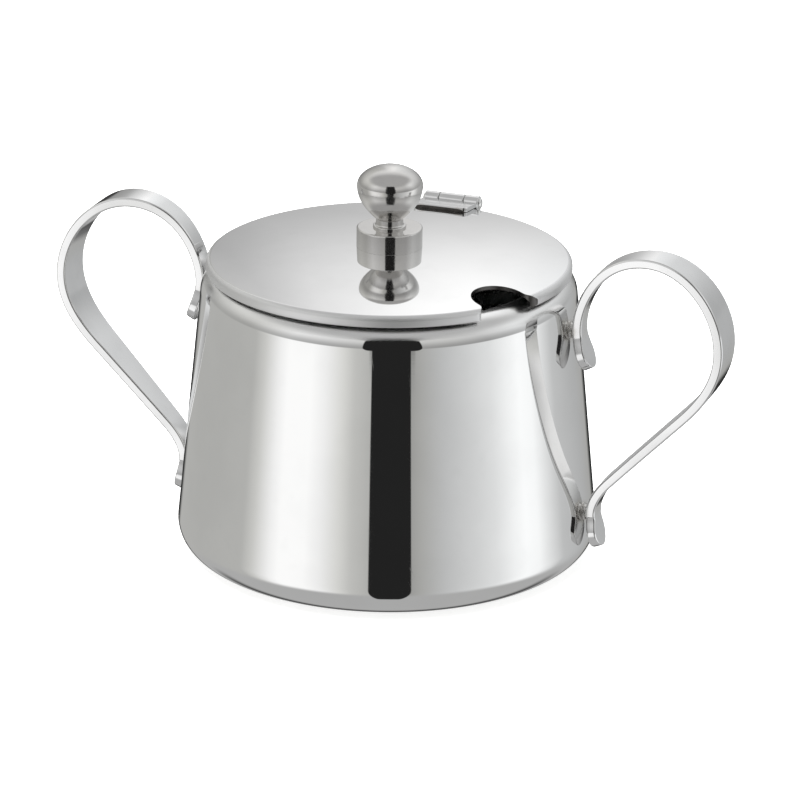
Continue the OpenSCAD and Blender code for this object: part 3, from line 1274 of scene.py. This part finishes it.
WARM: Colour = (1.0, 1.0, 0.972)
COOL: Colour = (0.982, 0.994, 1.0)

# Round the bowl below the horizon: two tall white cards, grey between them, and a dark line far back
LOW_RING = (
    Tone(-180, 0.45), Tone(-174.5, 0.40), Tone(-172.5, 0.03), Tone(-164, 0.03),
    Tone(-157, 0.47, WARM), Tone(-85, 0.50, WARM),
    Tone(-77, 0.66, WARM), Tone(-66, 1.0), Tone(-60, 1.12), Tone(-45, 1.12), Tone(-36, 0.99),
    Tone(-26, 0.78, WARM), Tone(-19, 0.60, WARM), Tone(-11, 0.52, WARM), Tone(12, 0.37, WARM),
    Tone(18, 0.44, WARM), Tone(32, 0.58, COOL), Tone(52, 0.76, COOL), Tone(62, 0.86, COOL),
    Tone(73, 1.03, COOL), Tone(82, 1.14, COOL), Tone(91, 1.1, COOL), Tone(98, 0.92, COOL),
    Tone(112, 0.6, COOL), Tone(140, 0.48, COOL), Tone(156, 0.42, WARM), Tone(163, 0.03),
    Tone(172.5, 0.03), Tone(174.5, 0.40), Tone(180, 0.45))

# The same round above the horizon, where the back is a broad bright wall
HIGH_RING = (
    Tone(-180, 0.80), Tone(-178, 0.73), Tone(-176, 0.68), Tone(-174.8, 0.60), Tone(-173, 0.50),
    Tone(-165, 0.45, WARM), Tone(-120, 0.60, WARM), Tone(-90, 0.55, WARM), Tone(-60, 0.72),
    Tone(-35, 0.60), Tone(0, 0.50, WARM), Tone(60, 0.50), Tone(88, 0.75, COOL), Tone(120, 0.64, COOL),
    Tone(160, 0.66, COOL), Tone(172, 0.84, COOL), Tone(175, 0.92), Tone(178, 0.86), Tone(180, 0.80))


@dataclass(frozen=True)
class Gap:
    """Black gap between two cards, from one angle to the other and from one height to the other.

    The lower corners are rounded over corner_across and corner_up degrees.
    """

    left: float
    right: float
    low: float
    high: float
    corner_across: float
    corner_up: float


GAPS = (Gap(-9.4, 13.3, -46.0, -4.0, 5.5, 30.0), Gap(-15.0, 20.0, -8.0, 50.0, 5.0, 12.0))


@dataclass
class Studio:
    """Camera, soft surrounding light, one soft lamp, pale floor and white backdrop.

    Angles are in degrees, and lengths in millimetres but for lamp_r and lamp_at, which are in metres. The
    levels are linear brightness: over and behind the bowl from above, under it, beyond its foot and in
    the gaps.
    """

    azimuth: float = 19.4
    elevation: float = 20.33
    roll: float = 0.6
    distance: float = 901.0
    lens: float = 196.0
    aim_right: float = 2.48
    aim_height: float = 31.2
    peak: float = 1.3
    over: float = 0.5
    behind: float = 1.1
    under: float = 0.46
    beyond: float = 0.052
    gap_level: float = 0.0182
    floor_r: float = 3000.0
    dome_r: float = 5000.0
    lamp_r: float = 0.8
    lamp_watts: float = 34.0
    lamp_at: tuple[float, float, float] = (-0.25, 0.15, 1.5)

    def camera(self) -> bpy.types.Object:
        """The camera, aimed at the middle of the bowl.

        Returns:
            The camera object, set as the scene's camera.
        """
        a, e, roll = (math.radians(v) for v in (self.azimuth, self.elevation, self.roll))
        right = Vector((math.cos(a), math.sin(a), 0.0))
        back = Vector((math.sin(a) * math.cos(e), -math.cos(a) * math.cos(e), math.sin(e)))
        up = back.cross(right)
        level = right * math.cos(roll) + up * math.sin(roll)
        data = bpy.data.cameras.new("camera")
        data.lens = self.lens
        data.sensor_width = 36.0
        data.clip_start = 0.05
        data.clip_end = 6.0 * self.dome_r * MM
        made = bpy.data.objects.new("camera", data)
        bpy.context.scene.collection.objects.link(made)
        aim = right * self.aim_right + Vector((0.0, 0.0, self.aim_height))
        made.matrix_world = self._frame(level, back.cross(level), back, (aim + back * self.distance) * MM)
        bpy.context.scene.camera = made
        return made

    @staticmethod
    def _frame(x: Vector, y: Vector, z: Vector, origin: Vector) -> Matrix:
        """Matrix from its three directions and its origin."""
        made = Matrix((x, y, z)).transposed().to_4x4()
        made.translation = origin
        return made

    def _ring(self, graph: Graph, turn_share: Value, tones: Sequence[Tone]) -> Value:
        """Colour round one ring of the studio.

        Args:
            graph: The world's graph.
            turn_share: Direction round the bowl, from 0 to 1.
            tones: The ring's tones in rising order.

        Returns:
            The ring's colour, as a share of the studio's peak.
        """
        stops = [((tone.angle + 180.0) / 360.0, self._shade(tone.level, tone.colour)) for tone in tones]
        return graph.node("ShaderNodeValToRGB", {"stops": stops}, [turn_share], "Color")

    def _shade(self, level: float, colour: Colour = (1.0, 1.0, 1.0)) -> Colour:
        """A level of brightness as a colour, as a share of the studio's peak."""
        return tuple(level * c / self.peak for c in colour)

    @staticmethod
    def _gap(angle: Value, climb: Value, gap: Gap) -> Value:
        """Mask of one black gap.

        Args:
            angle: Direction round the bowl in radians.
            climb: Direction above the horizon in radians.
            gap: The gap's edges.

        Returns:
            1 inside the gap and 0 outside it.
        """
        corner_across, corner_up = math.radians(gap.corner_across), math.radians(gap.corner_up)
        middle = math.radians(gap.left + gap.right) / 2.0
        straight = math.radians(gap.right - gap.left) / 2.0 - corner_across
        corner_top = math.radians(gap.low) + corner_up
        high, soft, soft_share = math.radians(gap.high), 0.02, 0.12
        across = ((angle - middle).math("ABSOLUTE") - straight).math("MAXIMUM", 0.0) / corner_across
        down = (corner_top - climb).math("MAXIMUM", 0.0) / corner_up
        inside = (across * across + down * down).between(1.0 + soft_share, 1.0 - soft_share)
        return inside * climb.between(high + soft, high - soft)

    def surroundings(self) -> bpy.types.World:
        """Soft light from every side, as a colour for each direction.

        Returns:
            The world.
        """
        world = bpy.data.worlds.new("soft_studio")
        bpy.context.scene.world = world
        graph = Graph(world)
        direction = graph.node("ShaderNodeTexCoord", output="Generated")
        x, y, z = graph.split(direction)
        a = math.radians(self.azimuth)
        rightward = x * math.cos(a) + y * math.sin(a)
        frontward = x * math.sin(a) - y * math.cos(a)
        angle, climb = rightward.math("ARCTAN2", frontward), z.math("ARCSINE")
        share = angle / math.tau + 0.5
        rise = graph.mix(z.between(0.02, 0.62), (0.72, 0.72, 0.72), (1.36, 1.36, 1.36))
        above = graph.mix(frontward.between(-0.3, -0.75), self._shade(self.over), self._shade(self.behind))
        high = graph.tint(self._ring(graph, share, HIGH_RING), rise)
        high = graph.mix(z.between(0.55, 0.80), high, above)
        low = self._ring(graph, share, LOW_RING)
        low = graph.mix(z.between(-0.42, -0.62), low, self._shade(self.under))
        past = frontward.between(-0.35, -0.62) * z.between(-0.6, -0.75)
        low = graph.mix(past, low, self._shade(self.beyond))
        sky = graph.mix(z.between(-0.05, 0.02), low, high)
        for gap in GAPS:
            sky = graph.mix(self._gap(angle, climb, gap), sky, self._shade(self.gap_level))
        shader = graph.node("ShaderNodeBackground", inputs={"Color": sky, "Strength": self.peak})
        graph.node("ShaderNodeOutputWorld", inputs={"Surface": shader})
        return world

    def lamp(self) -> bpy.types.Object:
        """Wide soft lamp overhead, which lights the floor and the soft shadow."""
        data = bpy.data.lights.new("overhead_lamp", "AREA")
        data.shape = "DISK"
        data.size = 2.0 * self.lamp_r
        data.energy = self.lamp_watts
        made = bpy.data.objects.new("overhead_lamp", data)
        bpy.context.scene.collection.objects.link(made)
        made.location = self.lamp_at
        made.rotation_euler = Vector(self.lamp_at).to_track_quat("Z", "Y").to_euler()
        made.visible_glossy = False
        return made

    def floor(self) -> bpy.types.Object:
        """The pale floor, level with the lowest point of the foot."""
        level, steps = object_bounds()[0].z / MM, 12
        rings = [(self.floor_r * (i / steps) ** 2, level) for i in range(steps + 1)]
        made = turned("floor", rings, 96, closed=False)
        made.data.materials.append(Floor().material())
        made.visible_glossy = False
        made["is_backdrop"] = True
        return made

    def backdrop(self) -> bpy.types.Object:
        """White dome behind everything, which only the camera sees."""
        rings = [(self.dome_r * math.sin(a), -self.dome_r * math.cos(a))
                 for a in (math.pi * i / 48 for i in range(49))]
        made = turned("backdrop", rings, 96, closed=False)
        made.data.materials.append(Glow().material())
        for ray in ("diffuse", "glossy", "transmission", "shadow", "volume_scatter"):
            setattr(made, f"visible_{ray}", False)
        made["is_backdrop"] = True
        return made


# ---------------------------------------------------------------- assembly


def build_bowl(bowl: Bowl, handle: Handle, hinge: Hinge) -> None:
    """Build and dress everything that rides on the bowl.

    Args:
        bowl: Sizes of the wall and the foot.
        handle: Sizes of both handles.
        hinge: Sizes of the hinge.
    """
    wall = Steel("polished_wall", (0.86, 0.86, 0.855), 0.012, Grain.CIRCLES, haze=0.02, line_depth=0.15,
                 line_rough=0.015, hairline=0.04, satin_inside=(bowl.base_r, bowl.slope),
                 patches=handle.heat())
    foot = Steel("polished_foot", (0.86, 0.86, 0.855), 0.012, Grain.CIRCLES, haze=0.02, line_depth=0.15,
                 line_rough=0.015, dull_below=0.5)
    strap = Steel("polished_strap", (0.85, 0.85, 0.85), 0.06, Grain.ALONG_STRAP, line_pitch=0.3,
                  line_depth=0.35, haze_size=9.0, patches=handle.heat())
    weld = Steel("weld", (0.72, 0.71, 0.69), 0.22, Grain.ALONG_X, line_depth=3.0, haze=0.1, haze_size=2.0)
    leaf = Steel("hinge_leaf", (0.83, 0.83, 0.83), 0.09, Grain.ALONG_X, line_pitch=0.22, haze_size=4.0,
                 patches=hinge.heat())
    pin = Steel("bright_pin", (0.80, 0.80, 0.79), 0.13, Grain.ALONG_X, line_pitch=0.15, haze_size=3.0)
    dress(bowl.wall(), wall.material(), Body.BOWL, Slot.WALL, "bowl_shell")
    dress(bowl.foot(), foot.material(), Body.BOWL, Slot.FOOT, "base_plate")
    strap_material, weld_material = strap.material(), weld.material()
    for side in Side:
        node = f"{side.name.lower()}_handle"
        dress(handle.strap(side), strap_material, Body.BOWL, Slot.STRAP, node)
        dress(handle.welds(side), weld_material, Body.BOWL, Slot.STRAP)
    dress(hinge.body_leaf(), leaf.material(), Body.BOWL, Slot.HINGE, "hinge_body_leaf")
    dress(hinge.pin(), pin.material(), Body.BOWL, Slot.PIN, "hinge_pin")


def build_lid(lid: Lid, knob: Knob, hinge: Hinge) -> None:
    """Build and dress everything that rides on the lid.

    Args:
        lid: Sizes of the lid.
        knob: Sizes of the knob.
        hinge: Sizes of the hinge.
    """
    dome = Steel("polished_dome", (0.86, 0.86, 0.86), 0.015, Grain.CIRCLES, haze=0.025, line_depth=0.15,
                 line_rough=0.015, hairline=0.04, satin_beyond=lid.dome_edge + 0.2)
    # Near-black colour of the notch's cut edge: a rougher bare edge, darkened as painted shade of the notch
    cut_edge_painted_shade = Steel("cut_edge_painted_shade", (0.16, 0.155, 0.15), 0.3, Grain.CIRCLES, line_depth=2.0, haze=0.1,
                     haze_size=2.0)
    leaf = Steel("lid_leaf", (0.83, 0.83, 0.83), 0.08, Grain.ALONG_X, line_pitch=0.22, haze_size=4.0,
                 patches=hinge.heat())
    # Near-black bead colour: partly the braze's own tone, partly painted shade of the crevice at the lid
    # leaf's front
    braze_and_painted_shade = Steel("braze_painted_shade", (0.09, 0.085, 0.08), 0.42, Grain.ALONG_X, line_depth=4.0, haze=0.15,
                  haze_size=1.0)
    turned_steel = Steel("turned_steel", (0.68, 0.67, 0.655), 0.07, Grain.CIRCLES, line_pitch=0.16,
                         line_depth=1.2, line_rough=0.05, haze_size=4.0)
    plain = Steel("plain_steel", (0.74, 0.74, 0.73), 0.2, Grain.CIRCLES, line_pitch=0.15, line_depth=2.0,
                  haze_size=2.5)
    plate = dress(lid.plate(), dome.material(), Body.LID, Slot.LID, "lid_plate")
    plate.data.materials[1] = cut_edge_painted_shade.material()
    dress(hinge.lid_leaf(), leaf.material(), Body.LID, Slot.HINGE, "hinge_lid_leaf")
    dress(hinge.braze_and_painted_shade(), braze_and_painted_shade.material(), Body.LID, Slot.HINGE)
    turned_material, plain_material = turned_steel.material(), plain.material()
    dress(knob.collar(), turned_material, Body.LID, Slot.TURNED, "knob_collar")
    dress(knob.ball(), turned_material, Body.LID, Slot.TURNED, "knob_ball")
    dress(knob.washer(), plain_material, Body.LID, Slot.PIN, "knob_washer")
    dress(knob.screw(), plain_material, Body.LID, Slot.PIN, "knob_screw")


def main() -> None:
    """Build the studio, the bowl and the lid."""
    logging.basicConfig(level=logging.INFO, format="%(message)s")
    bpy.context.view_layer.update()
    bpy.context.scene.view_settings.view_transform = "Standard"
    studio = Studio()
    studio.camera()
    studio.surroundings()
    studio.lamp()
    studio.floor()
    studio.backdrop()

    joint = frame["joints"][0]
    bowl = Bowl(rim_h=top_of("bowl_shell"))
    lid = Lid(bottom=bottom_of("lid_plate"), crown=top_of("lid_plate"), radius=reach_of("lid_plate"))
    handle = Handle(bowl, reach=reach_of("right_handle"), top=top_of("right_handle"))
    knob = Knob(lid, top=top_of("knob_ball"), collar_top=top_of("knob_collar"),
                washer_bottom=bottom_of("knob_washer"))
    hinge = Hinge(bowl, lid, pin_y=joint["pos_m"][1] / MM, pin_z=joint["pos_m"][2] / MM)
    build_bowl(bowl, handle, hinge)
    build_lid(lid, knob, hinge)


if __name__ == "__main__":
    main()
